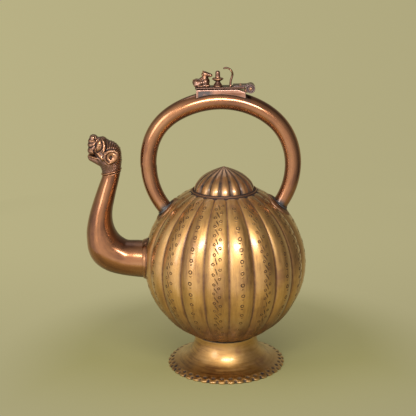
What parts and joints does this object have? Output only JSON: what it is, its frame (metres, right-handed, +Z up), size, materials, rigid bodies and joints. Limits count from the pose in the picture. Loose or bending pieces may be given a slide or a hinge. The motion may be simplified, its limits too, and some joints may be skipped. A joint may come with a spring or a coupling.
{
  "type": "gangajali",
  "caption": "Lobed globular brass water ewer on a flared crimped foot, with a lion-headed spout and a hollow arched handle filled under a hinged lid that carries ritual figures.",
  "frame": {"origin": "on the table under the middle of the foot", "axes": "+Z up along the body's axis, -X towards the spout, the handle's arch in the XZ plane"},
  "size_m": [0.2079, 0.1532, 0.2892],
  "materials": {
    "body_brass": "satin, golden brown with dark patina in the creases",
    "warm_brass": "polished, copper brown",
    "dark_brass": "dark cast, worn bright on the high places",
    "old_solder": "grey oxidised solder over brass"
  },
  "bodies": {
    "vessel": {"body_lower_half": "body_brass", "body_upper_half": "body_brass", "foot": "body_brass", "dome_collar": "body_brass", "dome_cap": "body_brass", "spout_tube": "warm_brass", "spout_flange": "warm_brass", "handle_tube": "warm_brass", "handle_disc_left": "body_brass", "handle_disc_right": "body_brass", "handle_ferrule_left": "old_solder", "handle_ferrule_right": "old_solder", "filler_saddle": "warm_brass", "spout_neck_band": "dark_brass", "spout_head": "dark_brass", "saddle_hinge_lug": "dark_brass", "hinge_pin": "dark_brass"},
    "lid": {"lid_plate": "warm_brass", "lid_hinge_strap": "old_solder", "strap_rivet_front": "dark_brass", "strap_rivet_back": "dark_brass", "nandi_bull": "dark_brass", "yoni_pedestal": "dark_brass", "linga": "dark_brass", "cobra": "dark_brass"}
  },
  "joints": [
    {"name": "lid_hinge", "type": "hinge", "parent": "vessel", "child": "lid", "pos_m": [0.02545, 0, 0.26991], "axis": [0, 1, 0], "range_deg": [0, 165]}
  ]
}
